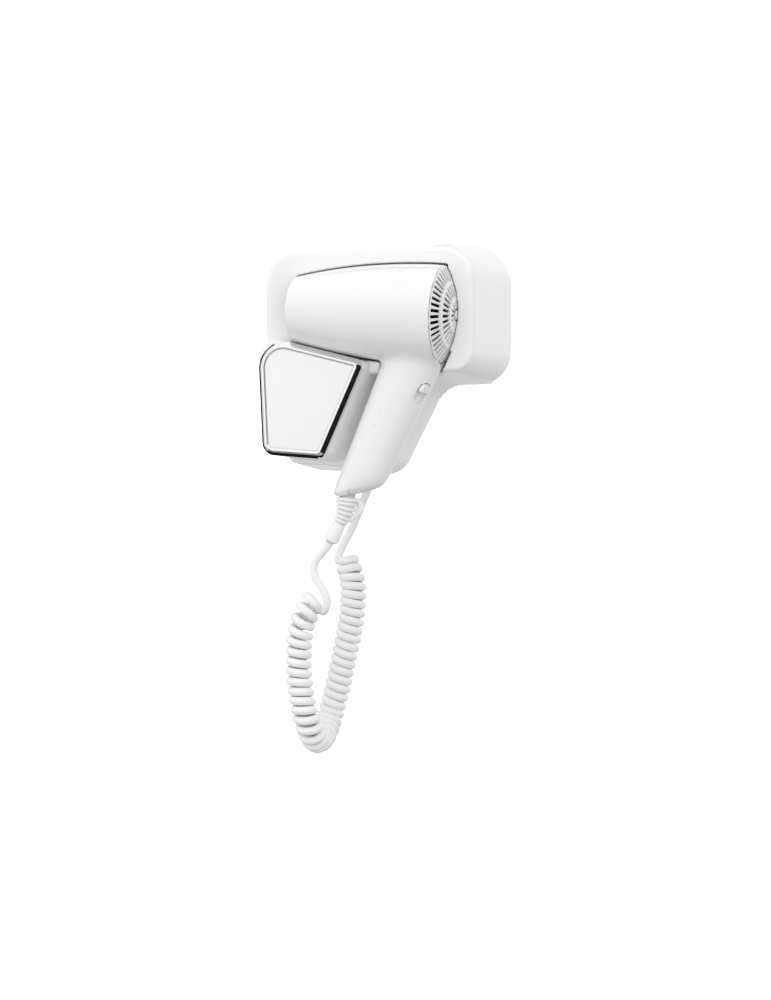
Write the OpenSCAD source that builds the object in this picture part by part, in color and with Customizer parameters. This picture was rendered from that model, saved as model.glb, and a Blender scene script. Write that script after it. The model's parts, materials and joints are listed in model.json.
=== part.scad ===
// Wall-mounted hair dryer: a wall housing with a form-fit cradle, a pistol-grip dryer that
// lifts out of it, and a curly cord between the two. Millimetres, +Z up, the wall is the
// plane y = 0 and the front faces -Y. The origin is the centre of the wall plate's back face.

/* [Housing] */
// Width of the housing's front face
box_w = 163; // [156:1:198]
// Height of the housing's front face
box_h = 92; // [90:1:112]
// Distance from the wall to the front face, which is the dryer's centre plane
box_d = 78; // [65:1:96]
// Growth of each side towards the wall, for mould draft
draft = 7.5; // [4:0.5:9]
// Wall thickness of the housing shell
wall = 2.5; // [2:0.1:3]
// Height of the lower block, below the housing's centre line
block_drop = 119; // [110:1:126]
// How far the lower block stands in front of the front face
block_proud = 10; // [6:1:14]
// Thickness of the wall plate
plate_t = 3; // [2.5:0.1:4]

/* [Wall fixing] */
// Distance between the wall screws across the housing
screw_pitch_x = 130; // [110:1:136]
// Distance between the wall screws up the housing
screw_pitch_z = 60; // [50:1:64]
// Diameter of the wall screw holes
screw_hole_d = 4.5; // [4:0.1:6]
// Diameter of the mains cable entry in the wall plate
entry_d = 16; // [12:1:20]

/* [Dryer barrel] */
// Length of the barrel from its rear rim to the nozzle's end
barrel_l = 117.5; // [110:0.5:122]
// Largest radius of the barrel
barrel_r = 36.9; // [34:0.1:38.5]
// Radius of the nozzle's end
nozzle_r = 24.6; // [22:0.1:27]
// Height of the domed rear grille
dome_h = 10.5; // [8:0.5:12]
// Wall thickness of the dryer shells
shell_t = 2; // [1.6:0.1:2.4]
// Tilt of the barrel, nozzle up, in degrees
barrel_tilt = 3; // [0:0.5:5]
// Gap between the dryer and its cradle
cradle_gap = 1.5; // [1:0.1:2.5]

/* [Dryer handle] */
// Lean of the handle from the vertical, in degrees
handle_lean = 24.5; // [20:0.5:28]
// Half width of the handle where it meets the barrel
handle_top_a = 22.4; // [20:0.1:24]
// Half width of the handle near its lower end
handle_low_a = 17.8; // [15:0.1:19]
// Half depth of the handle where it meets the barrel
handle_top_b = 17; // [15:0.5:18]
// Travel of the speed switch
switch_travel = 6.5; // [4:0.5:8]

/* [Fan and heater] */
// Radius of the motor's can
motor_r = 14; // [11:0.5:16]
// Length of the motor's can
motor_l = 32; // [26:1:34]
// Radius of the motor shaft
shaft_r = 1.15; // [1:0.05:1.6]
// Radius over the fan's blades
fan_r = 29; // [26:0.5:29.5]
// Number of fan blades
fan_blades = 9; // [5:1:11]
// Radius of the heater's wire winding
winding_r = 19.6; // [17:0.2:20]

/* [Cord] */
// Diameter of the cord
cord_d = 6.5; // [6:0.1:7]
// Outer diameter of the cord's coil
coil_od = 21; // [18:0.5:22]

/* [Hidden] */
$fn = 40;
fit = 0.3;                       // clearance between pieces that only sit together
turn = 0.05;                     // radial clearance round a turning shaft
eps = 0.01;

// Housing outlines, as points [x, z]
half_w = box_w / 2;
half_h = box_h / 2;
leg_front = -box_d + 22;         // front of the leg behind the handle
block_y = -box_d - block_proud;  // front of the white block, behind its trim
trim_d = 3.5;                    // depth of the trim frame's bevel
trim_grow = 2.5;                 // how far the bevel spreads
trim_w = 2.4;                    // width of the trim frame seen from the front
trim_pts = [[-half_w, -21], [-3, -40.5], [-34, 11 - block_drop], [4 - half_w, 14 - block_drop]];
trim_rad = [17, 3, 4, 7];
leg_pts = [[-half_w - 4, -29], [-half_w + 4, -block_drop], [-2, -block_drop - 3.8],
           [34.8, -half_h - draft], [half_w - 6.5, -half_h - draft], [half_w - 6.5, -30]];
leg_rad = [0.6, 10, 14, 22, 0.6, 0.6];
leg_draft = 6;                   // growth of the leg's outline towards the wall
button_x = 48;
button_y = -38;
button_rise = 2.2 + draft * 0.95 * (1 + button_y / box_d); // its top, above half_h

// Barrel frame: its +Z runs from the rear rim towards the nozzle, its +X is up
rim = [59.5, -box_d, -4.3];
belly_s = 10;
// Handle frame: its +Z runs down the handle, its +X towards the nozzle side
grip = [33, -box_d, -45];
grip_l = 88;                     // from the grip point to the lower section
grip_end = [-13, -box_d, -139.5];
seam = [[33, 47], [28.5, -40], [25.5, -53.6], [-12.6, -137.5], [-15.5, -150]];
// Strain relief frame: its +Z runs down out of the handle
relief_lean = 16.6;
relief_at = [-16.2, -box_d, -140];
relief_l = 20.5;
// Sleeve frame: the sleeve leans a little more, as the cord bends
sleeve_lean = 29.6;
sleeve_at = relief_at - relief_l * [sin(relief_lean), 0, cos(relief_lean)];
sleeve_l = 14.5;

// Stations along the barrel
duct_from = 10;
motor_from = 33;
board_from = motor_from + motor_l;
heater_from = 73;
heater_to = 104;
duct_r = fan_r + 1.6;
sleeve_in = 21.3;
mount_to = motor_from + 18;

// Cord routes, hand-set points
gland_at = [-14, -34, -block_drop];
clamp_y = gland_at[1] + cord_d / 2;
lead_route = [[-30.35, -78, -174.2], [-33.2, -78, -178.6], [-37.3, -78, -183], [-41.7, -78, -188.5],
              [-43.7, -78, -195], [-42, -78, -201.5], [-39.3, -78, -206.5], [-38.3, -78.2, -210],
              [-38.6, -78.5, -213], [-40.2, -78, -215.3]];
coil_route = [[-40.3, -78, -215.4], [-44, -77, -220.5], [-48.5, -76.5, -226], [-51.4, -77, -232],
              [-53.6, -77, -239], [-55.3, -77, -247], [-56.1, -77, -255], [-56.2, -77, -262],
              [-56.2, -77, -269], [-56, -77, -276], [-55.2, -77, -284], [-54.3, -77, -289],
              [-53.2, -77, -295.7], [-51.9, -77, -302.4], [-50.2, -76.2, -309.5],
              [-48.6, -73.4, -317.5], [-48, -66.2, -324.8], [-48, -55.5, -327.8],
              [-48, -44.8, -325], [-47.4, -37.2, -317.5], [-45.8, -34.2, -309], [-43.6, -34, -301],
              [-40, -34, -287], [-36, -34, -270], [-32, -34, -252], [-29, -34, -235],
              [-27.6, -34, -220], [-27.8, -34, -210], [-29.3, -34, -200.4], [-32.8, -34, -192.5]];
wall_route = [[-14, -34, -121], [-14, -34, -126], [-15, -34, -134], [-19, -34, -143], [-24, -34, -155],
              [-28.5, -34, -165], [-33, -34, -173.5], [-36, -34, -180], [-37, -34, -184],
              [-36, -34, -187.2], [-34.2, -34, -189.6], [-32.9, -34, -192.25]];
supply_route = [[-14, -34, -98], [-14, -33, -88], [-16, -28, -70], [-22, -20, -48],
                [-29, -13, -26], [-33, -10, -6], [-34, -10, 15.8]];
handset_route = [[-7, -79, -118.5], [2, -80, -106], [14, -81.5, -91], [28, -82, -77]];

function unit(v) = v / norm(v);
function left(d) = [-d[1], d[0]];
function at(pts, i) = pts[(i + len(pts)) % len(pts)];

// Moves each side of a counter-clockwise polygon outwards by d
function grown(pts, d) = [for (i = [0 : len(pts) - 1])
    let (n1 = -left(unit(at(pts, i) - at(pts, i - 1))),
         n2 = -left(unit(at(pts, i + 1) - at(pts, i))))
    at(pts, i) + (n1 + n2) * d / (1 + n1 * n2)];

// Rounds a polygon's corners, whichever way they turn
function arc_at(p, a, b, r, n) =
    let (ua = unit(a - p), ub = unit(b - p),
         half = acos(ua * ub) / 2,
         c = p + unit(ua + ub) * r / sin(half),
         s = p + ua * r / tan(half) - c,
         e = p + ub * r / tan(half) - c,
         a0 = atan2(s[1], s[0]),
         da = (atan2(e[1], e[0]) - a0 + 540) % 360 - 180)
    [for (k = [0 : n]) c + r * [cos(a0 + da * k / n), sin(a0 + da * k / n)]];
function rounded(pts, rad, n = 7) = [for (i = [0 : len(pts) - 1])
    each arc_at(pts[i], at(pts, i - 1), at(pts, i + 1), rad[i], n)];

// Clockwise polygons turn into counter-clockwise ones
function flipped(v) = [for (i = [len(v) - 1 : -1 : 0]) v[i]];

// The housing's rounded rectangle, its sides a little convex
function bowed(p, w, h) = let (u = p[0] / w, v = p[1] / h)
    [p[0] + 1.2 * u * (1 - v * v), p[1] + 1.2 * v * (1 - u * u)];
function box_outline(g) =
    let (w = half_w + g, h = half_h + g * 0.95,
         low = 15 + max(g, 0), top = 24 + max(g, 0) * 0.6)
    [for (p = rounded([[w, -h], [w, h], [-w, h], [-w, -h]], [low, top, top, low]))
        bowed(p, w, h)];
function leg_outline(g) = rounded(grown(leg_pts, g), leg_rad);
function trim_outline(g) = rounded(grown(flipped(trim_pts), g),
    [for (r = flipped(trim_rad)) max(0.5, r + g)]);

// The barrel's outer radius at a distance s from its rear rim
function barrel_radius(s) = s <= belly_s
    ? barrel_r - 0.5 * pow((belly_s - s) / belly_s, 2)
    : nozzle_r + (barrel_r - nozzle_r) * (1 - pow((s - belly_s) / (barrel_l - belly_s), 2.2));
function barrel_side(g) = [for (s = [0, 5, 10, 20, 30, 42, 55, 67, 78, 88, 97, 105, 112, barrel_l])
    [barrel_radius(s) + g, s]];
dome_R = (pow(barrel_radius(0), 2) + pow(dome_h, 2)) / (2 * dome_h);

// ---------- shared shapes ----------

// A solid through rings of points that all have the same count
module skin(rings) {
    n = len(rings[0]);
    last = len(rings) - 1;
    polyhedron(
        points = [for (ring = rings) each ring],
        faces = concat(
            [[for (k = [0 : n - 1]) k]],
            [for (i = [0 : last - 1]) for (k = [0 : n - 1])
                [i * n + k, (i + 1) * n + k, (i + 1) * n + (k + 1) % n, i * n + (k + 1) % n]],
            [[for (k = [n - 1 : -1 : 0]) last * n + k]]));
}

// A solid whose outline [x, z] changes along y, from the front to the back
module loft(outlines, ys) {
    skin([for (i = [0 : len(ys) - 1]) [for (p = flipped(outlines[i])) [p[0], ys[i], p[1]]]]);
}
// The same for outlines that are convex
module convex_loft(outlines, ys) {
    hull() loft(outlines, ys);
}

// A tube swept along a path; side is a direction that the path never takes
module swept(path, r, sides, side) {
    last = len(path) - 1;
    skin([for (i = [0 : last])
        let (t = unit(path[min(i + 1, last)] - path[max(i - 1, 0)]),
             u = unit(cross(t, side)),
             v = cross(t, u))
        [for (k = [0 : sides - 1])
            path[i] + r * (cos(360 * k / sides) * u + sin(360 * k / sides) * v)]]);
}

module in_barrel() {
    translate(rim) rotate([0, -(90 - barrel_tilt), 0]) children();
}
module in_handle() {
    translate(grip) rotate([0, 180 + handle_lean, 0]) children();
}
module in_relief() {
    translate(relief_at) rotate([0, 180 + relief_lean, 0]) children();
}
module in_sleeve() {
    translate(sleeve_at) rotate([0, 180 + sleeve_lean, 0]) children();
}
module ring(r_out, r_in, h) {
    difference() {
        cylinder(r = r_out, h = h);
        translate([0, 0, -1]) cylinder(r = r_in, h = h + 2);
    }
}
module spokes(n) {
    for (i = [0 : n - 1]) rotate(360 * i / n) children();
}
// A hole along y, from y0 to y1
module along_y(r, y0, y1) {
    translate([0, y0, 0]) rotate([-90, 0, 0]) cylinder(r = r, h = y1 - y0);
}

// ---------- the dryer's outside ----------

// The barrel grown by g, with its dome, and a flat end past the nozzle
module barrel_body(g, past = 0) {
    rotate_extrude() polygon(concat([[0, 0]], barrel_side(g),
        [[nozzle_r + g, barrel_l + past], [0, barrel_l + past]]));
}
module dome_body(g, over = 0) {
    intersection() {
        translate([0, 0, dome_R - dome_h]) sphere(r = dome_R + g);
        translate([0, 0, -dome_h - g]) cylinder(r = barrel_radius(0) + g, h = dome_h + g + over);
    }
}
module oval(a, b, h) {
    scale([a, b, 1]) cylinder(r = 1, h = h, $fn = 32);
}
// The handle as three sections, each drawn thin, and pushed forward by ahead
module handle_sections(g, ahead) {
    translate([0, -ahead, 0]) {
        in_handle() translate([0, 0, -24]) oval(handle_top_a + g, handle_top_b + g, 0.5);
        in_handle() translate([0, 0, grip_l]) oval(handle_low_a + g, handle_top_b - 2 + g, 0.5);
        translate(grip_end + [0, 0, -g]) oval(11.5 + g, 11.5 + g, 0.5);
    }
}
module handle_body(g, ahead = 0) {
    hull() {
        handle_sections(g, 0);
        if (ahead > 0) handle_sections(g, ahead);
    }
}
// The space that the dryer fills in the housing, open towards the front
module cradle_space(g) {
    in_barrel() barrel_body(g, g);
    in_barrel() dome_body(g, 1);
    in_barrel() rotate([90, 0, 0]) linear_extrude(60) polygon(concat(
        [for (p = barrel_side(g)) [p[0], p[1]]], [[nozzle_r + g, barrel_l + g]],
        [[-nozzle_r - g, barrel_l + g]], [for (p = flipped(barrel_side(g))) [-p[0], p[1]]],
        [for (a = [-35, -15, 0, 15, 35]) dome_point(a, g)]));
    handle_body(g + 0.5, 60);
}
// A point on the dome's outline; a is the share of the half angle, from -35 to 35
function dome_point(a, g) =
    let (edge = asin(barrel_radius(0) / dome_R) * a / 36)
    [(dome_R + g) * sin(edge), dome_R - dome_h - (dome_R + g) * cos(edge)];

// ---------- the housing ----------

// The housing grown by g, from its front to a distance back behind the wall
module housing_outside(g, back = 0) {
    front = -box_d - min(g, 0);
    convex_loft([box_outline(g - 3), box_outline(g - 0.8), box_outline(g), box_outline(g + draft)],
        [front, front + 1, front + 3.5, back]);
    loft([leg_outline(g - leg_draft), leg_outline(g)], [leg_front - g, back]);
    convex_loft([trim_outline(g + 2), trim_outline(g + 3.4), trim_outline(g + 5.5)],
        [block_y - g, block_y - g + 1.5, leg_front + 4]);
}

module wall_plate() {
    color("whitesmoke") difference() {
        union() {
            rotate([90, 0, 0]) linear_extrude(plate_t) {
                polygon(box_outline(draft * (1 - plate_t / box_d) - wall - fit));
                polygon(leg_outline(leg_draft * plate_t / leg_front - wall - fit));
            }
            for (z = [-1, 1]) translate([0, 0, z * 38]) cube_at([90, 5, 2], -plate_t - 5);
        }
        for (x = [-1, 1], z = [-1, 1])
            translate([x * screw_pitch_x / 2, 0, z * screw_pitch_z / 2])
                along_y(screw_hole_d / 2, -plate_t - 1, 1);
        translate([-34, 0, -12]) along_y(entry_d / 2, -plate_t - 1, 1);
        for (x = [-60, -28]) translate([x, 0, -84]) along_y(1.3, -plate_t - 1, 1);
    }
}
// A box of size [x, y, z], centred in x and z, whose front is at y
module cube_at(size, y) {
    translate([-size[0] / 2, y, -size[2] / 2]) cube(size);
}

module button_hole(g) {
    translate([button_x - 6.4 - g, button_y - 5 - g, 30]) cube([12.8 + 2 * g, 10 + 2 * g, 40]);
}

module housing_shell() {
    color("white") difference() {
        union() {
            difference() {
                housing_outside(0);
                housing_outside(-wall, 2);
            }
            intersection() {
                cradle_space(cradle_gap + 2);
                housing_outside(-wall / 2);
            }
        }
        cradle_space(cradle_gap);
        button_hole(fit);
        translate(gland_at) cylinder(r = 5.5 + fit, h = 30, center = true);
    }
}

// Closes the block's underside behind the trim, where the two shell screws enter
module block_floor() {
    color("whitesmoke") difference() {
        union() {
            for (x = [-60, -28]) translate([x, 0, -84]) along_y(4, leg_front - 8, -plate_t);
            translate([-46, 0, -84]) cube_at([36, 2, 22], leg_front - 10);
        }
        for (x = [-60, -28]) translate([x, 0, -84]) along_y(1.3, leg_front, 1);
    }
}

module trim_frame() {
    color("silver") difference() {
        loft([trim_outline(0), trim_outline(1.4), trim_outline(trim_grow)],
             [block_y - trim_d - 0.5, block_y - trim_d + 0.5, block_y]);
        loft([trim_outline(-trim_w), trim_outline(-trim_w)],
             [block_y - trim_d - 2, block_y + 1]);
    }
}
module trim_panel() {
    color("white")
        loft([trim_outline(-trim_w - 0.8), trim_outline(-trim_w), trim_outline(-trim_w)],
             [block_y - trim_d, block_y - trim_d + 0.6, block_y]);
}

module power_button() {
    color("white") {
        translate([button_x - 6.4, button_y - 5, half_h - 1]) cube([12.8, 10, button_rise + 1]);
        translate([button_x, button_y, half_h - 0.9]) cube([15, 13, 2], center = true);
        translate([button_x - 2, button_y - 2, half_h - 12]) cube([4, 4, 11]);
    }
}
module power_switch() {
    color("dimgray") {
        translate([button_x - 7, button_y - 6, 19]) cube([14, 12, 12.4]);
        translate([button_x - 5, button_y + 6, 20]) cube([10, -button_y - 6 - plate_t, 3]);
    }
}
module terminal_block() {
    color("ivory") difference() {
        translate([-52, -plate_t - 13, 16]) cube([36, 13, 14]);
        for (x = [-46, -34, -22]) translate([x, 0, 26]) along_y(2, -plate_t - 14, -plate_t - 5);
    }
}
module control_board() {
    color("seagreen") {
        translate([8, -16, -30]) cube([46, 1.6, 26]);
        for (x = [11, 51], z = [-27, -7]) translate([x, 0, z]) along_y(2.5, -14.4, -plate_t);
    }
}
module reed_switch() {
    color("lightgray") translate([-60, -20, -20]) {
        cube([16, 6, 6]);
        translate([2, 6, 1]) cube([12, 20 - 6 - plate_t, 4]);
    }
}
module cord_gland() {
    color("white") translate(gland_at) difference() {
        union() {
            translate([0, 0, -6]) cylinder(r1 = cord_d / 2 + 1.4, r2 = 5.5, h = 6);
            cylinder(r = 5.5, h = 7);
            translate([0, 0, 5.7]) cylinder(r = 8, h = 2);
        }
        translate([0, 0, -7]) cylinder(r = cord_d / 2, h = 20);
    }
}
module cord_clamp() {
    color("whitesmoke") difference() {
        union() {
            translate([-27, clamp_y, -106]) cube([26, 2.5, 8]);
            for (x = [-24, -4]) translate([x, 0, -102]) along_y(2.6, clamp_y + 2.5, -plate_t);
        }
        for (x = [-24, -4]) translate([x, 0, -102]) along_y(1.3, clamp_y - 1, -15);
    }
}
module screw(d, l) {
    cylinder(r = d / 2, h = l);
    translate([0, 0, -2]) cylinder(r1 = d, r2 = d * 0.9, h = 2);
}
module clamp_screws() {
    color("silver") for (x = [-24, -4])
        translate([x, clamp_y, -102]) rotate([-90, 0, 0]) screw(2.6, 12);
}
module shell_screws() {
    color("silver") for (x = [-60, -28]) translate([x, 0, -84]) along_y(1.3, -33, 0);
}
module supply_wires() {
    color("gray") {
        translate([gland_at[0], gland_at[1], -121]) cylinder(r = cord_d / 2, h = 23);
        for (x = [-1.5, 1.5]) translate([x, 0, 0]) swept(supply_route, 1.3, 8, [1, 0, 0]);
    }
}

// ---------- the dryer ----------

module dryer_walls() {
    difference() {
        union() {
            in_barrel() barrel_body(0);
            handle_body(0);
        }
        in_barrel() translate([0, 0, -eps]) barrel_body(-shell_t, 2);
        in_barrel() translate([0, 0, -20]) cylinder(r = barrel_r + 4, h = 20);
        handle_body(-shell_t);
        in_relief() translate([0, 0, -12]) cylinder(r = 6.2, h = 20);
        in_relief() translate([0, 0, 0.3]) cylinder(r = 9.4 + fit, h = 20);
        in_switch() switch_slot(5.2, switch_travel / 2 + 0.1, -10, 20);
    }
}
module nozzle_side() {
    rotate([90, 0, 0]) linear_extrude(300, center = true)
        polygon(concat(seam, [[-200, -150], [-200, 47]]));
}
module front_shell() {
    color("white") intersection() {
        dryer_walls();
        nozzle_side();
    }
}
module rear_shell() {
    color("white") difference() {
        dryer_walls();
        nozzle_side();
    }
}
module rear_grille() {
    color("white") in_barrel() {
        difference() {
            dome_body(0);
            dome_body(-1.8);
            translate([0, 0, dome_R - dome_h]) sphere(r = dome_R - 1.8);
            grille_slots(45, 25, 34.2, 2.0);
            grille_slots(30, 13.5, 22.4, 1.9);
            grille_slots(15, 3.4, 10.4, 1.4);
        }
        ring(barrel_radius(0) - shell_t - 0.1, barrel_radius(0) - shell_t - 1.5, 7);
    }
}
module grille_slots(n, r0, r1, w) {
    spokes(n) translate([r0, -w / 2, -dome_h - 1]) cube([r1 - r0, w, dome_h + 0.6]);
}
module outlet_grille() {
    color("dimgray") in_barrel() translate([0, 0, 106.5]) {
        ring(barrel_radius(111) - shell_t - 0.1, 22, 4.5);
        ring(15.5, 14.3, 3);
        ring(8.5, 7.3, 3);
        spokes(8) translate([7.8, -0.6, 0]) cube([15, 1.2, 3]);
    }
}
module motor_mount() {
    color("gainsboro") in_barrel() {
        translate([0, 0, duct_from]) ring(duct_r + 1.4, duct_r, mount_to - duct_from);
        translate([0, 0, duct_from]) ring(barrel_radius(duct_from) - shell_t - 0.1, duct_r + 1, 2);
        translate([0, 0, motor_from]) ring(motor_r + 1.5, motor_r, mount_to - motor_from);
        spokes(7) translate([motor_r + 1, -0.6, motor_from])
            cube([duct_r - motor_r - 0.6, 1.2, mount_to - motor_from]);
    }
}
module motor() {
    color("silver") in_barrel() difference() {
        union() {
            translate([0, 0, motor_from]) cylinder(r = motor_r, h = motor_l);
            translate([0, 0, motor_from - 2]) cylinder(r = 4, h = 3);
        }
        translate([0, 0, motor_from - 3]) cylinder(r = shaft_r + turn, h = motor_l);
    }
}
module motor_shaft() {
    color("gray") in_barrel() translate([0, 0, 15]) cylinder(r = shaft_r, h = motor_from + 8);
}
module impeller() {
    color("dimgray") in_barrel() translate([0, 0, 14]) difference() {
        union() {
            cylinder(r = 10, h = 13);
            spokes(fan_blades) translate([9, 0, 6.5]) rotate([38, 0, 0])
                translate([0, -0.7, -6.5]) cube([fan_r - 9.5, 1.4, 13]);
        }
        translate([0, 0, -1]) cylinder(r = shaft_r, h = 20);
        translate([0, 0, 4]) ring(8.4, 3, 12);
    }
}
module rectifier_board() {
    color("peru") in_barrel() translate([0, 0, board_from]) ring(13, 2, 1.6);
}
module diodes() {
    color("black") in_barrel() translate([0, 0, board_from + 1.6]) spokes(4)
        translate([8, 0, 1.4]) rotate([90, 0, 0]) cylinder(r = 1.4, h = 6, center = true);
}
module mica_sleeve() {
    color("tan") in_barrel() translate([0, 0, heater_from - 1])
        ring(sleeve_in + 0.6, sleeve_in, heater_to - heater_from + 4.5 - 2);
}
module heater_frame() {
    color("wheat") in_barrel() for (a = [0, 90]) rotate(a) {
        translate([-winding_r + 0.9, -0.4, heater_from])
            cube([2 * winding_r - 1.8, 0.8, heater_to - heater_from]);
        for (s = [heater_from, heater_to - 2])
            translate([0.05 - sleeve_in, -0.4, s]) cube([2 * sleeve_in - 0.1, 0.8, 2]);
    }
}
module heater_winding() {
    turns = 7;
    steps = 14;
    pitch = 3.4;
    color("gray") in_barrel() translate([0, 0, heater_from + 4])
        swept([for (i = [0 : turns * steps]) let (a = 360 * i / steps)
            [winding_r * cos(a), winding_r * sin(a), pitch * i / steps]], 0.7, 5, [0, 0, 1]);
}
module thermostat() {
    color("silver") in_barrel() translate([4, 0.4, heater_from + 8]) cube([8, 4, 9]);
}
module thermal_fuse() {
    color("silver") in_barrel() translate([-8, 1.9, heater_from + 6]) cylinder(r = 1.5, h = 10);
}

// The speed switch lies on the handle's rear flank, turned towards the front
switch_at = 11.4;                // distance down the handle
switch_turn = 71;                // from the front towards the rear flank
switch_out = 20.8;               // distance of the flank's skin from the handle's axis
module in_switch() {
    in_handle() translate([0, 0, switch_at]) rotate([90, 0, -switch_turn])
        translate([0, 0, switch_out]) children();
}
// A slot along the handle with round ends, their centres at -reach and reach
module switch_slot(r, reach, z, h) {
    hull() for (y = [-reach, reach]) translate([0, y, z]) cylinder(r = r, h = h);
}
module speed_switch() {
    color("dimgray") in_switch() {
        translate([-4.5, -9, -14]) cube([9, 18, 7]);
        for (y = [-11, 9]) translate([-3, y, -9]) cube([6, 2, 4.6]);
    }
}
module switch_knob() {
    color("white") in_switch() {
        difference() {
            translate([0, -switch_travel / 2, -4]) cylinder(r = 4.8, h = 4.6);
            translate([-6, -0.9, -5]) cube([12, 8, 8]);
        }
        translate([-2, -5.5, -7 + fit]) cube([4, 3, 4]);
    }
}
module handle_screws() {
    color("silver") for (s = [48, 76]) in_handle() translate([-16, 0, s])
        rotate([0, 90, 0]) cylinder(r = 1.3, h = 12);
}
module handle_clamp() {
    color("whitesmoke") in_relief() translate([0, 0, -22]) difference() {
        translate([-10, -7, 0]) cube([14.5, 14, 6]);
        translate([0, 0, -1]) cylinder(r = 2.8, h = 9);
    }
}
module cradle_magnet() {
    color("gray") in_barrel() translate([0, 0, 98]) rotate([-90, 0, 0]) translate([0, 0, 22.1])
        cylinder(r = 4, h = 2);
}
module handset_wires() {
    color("gray") for (y = [-1.5, 1.5])
        translate([0, y, 0]) swept(handset_route, 1.1, 8, [0, 1, 0]);
}
module strain_relief() {
    color("white") difference() {
        in_relief() {
            translate([0, 0, 0.6]) cylinder(r = 9.4, h = 2.4);
            translate([0, 0, -6]) cylinder(r = 6, h = 7);
            translate([0, 0, 2]) cylinder(r1 = 7.2, r2 = 4.4, h = relief_l);
            for (i = [0 : 4]) translate([0, 0, 4.9 + i * 3.5]) rotate_extrude()
                translate([8.2 - i * 0.8, 0]) rib_profile();
        }
        in_relief() translate([0, 0, -9]) cylinder(r = cord_d / 2, h = 60);
        in_sleeve() cylinder(r = 12, h = 20);
    }
}
module rib_profile() {
    translate([-2.5, -1.3]) square([2.5, 2.6]);
    circle(r = 1.3, $fn = 12);
}
module cord_sleeve() {
    color("white") in_sleeve() difference() {
        union() {
            cylinder(r1 = 4.8, r2 = 6.3, h = sleeve_l);
            translate([0, 0, sleeve_l]) cylinder(r1 = 6.3, r2 = cord_d / 2 + 0.8, h = 2);
        }
        translate([0, 0, -1]) cylinder(r = cord_d / 2, h = 30);
    }
}
module hanging_loop() {
    color("white") in_relief() translate([-6.2, 0, 8]) rotate([90, 0, 0]) rotate(90)
        rotate_extrude(angle = 180) translate([7.3, 0]) circle(r = 1.4, $fn = 20);
}

// ---------- the cord ----------

module handle_lead() {
    color("white") swept(lead_route, cord_d / 2, 10, [0, 1, 0]);
}
module cord_coil() {
    color("white") swept(coil_route, coil_od / 2, 12, [1, 0, 0]);
}
module wall_lead() {
    color("white") swept(wall_route, cord_d / 2, 10, [0, 1, 0]);
}

wall_plate();
housing_shell();
block_floor();
trim_frame();
trim_panel();
power_button();
power_switch();
terminal_block();
control_board();
reed_switch();
cord_gland();
cord_clamp();
clamp_screws();
shell_screws();
supply_wires();
front_shell();
rear_shell();
rear_grille();
outlet_grille();
motor_mount();
motor();
motor_shaft();
impeller();
rectifier_board();
diodes();
mica_sleeve();
heater_frame();
heater_winding();
thermostat();
thermal_fuse();
speed_switch();
switch_knob();
handle_screws();
handle_clamp();
cradle_magnet();
handset_wires();
strain_relief();
cord_sleeve();
hanging_loop();
handle_lead();
cord_coil();
wall_lead();
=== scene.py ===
import json
import math

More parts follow.
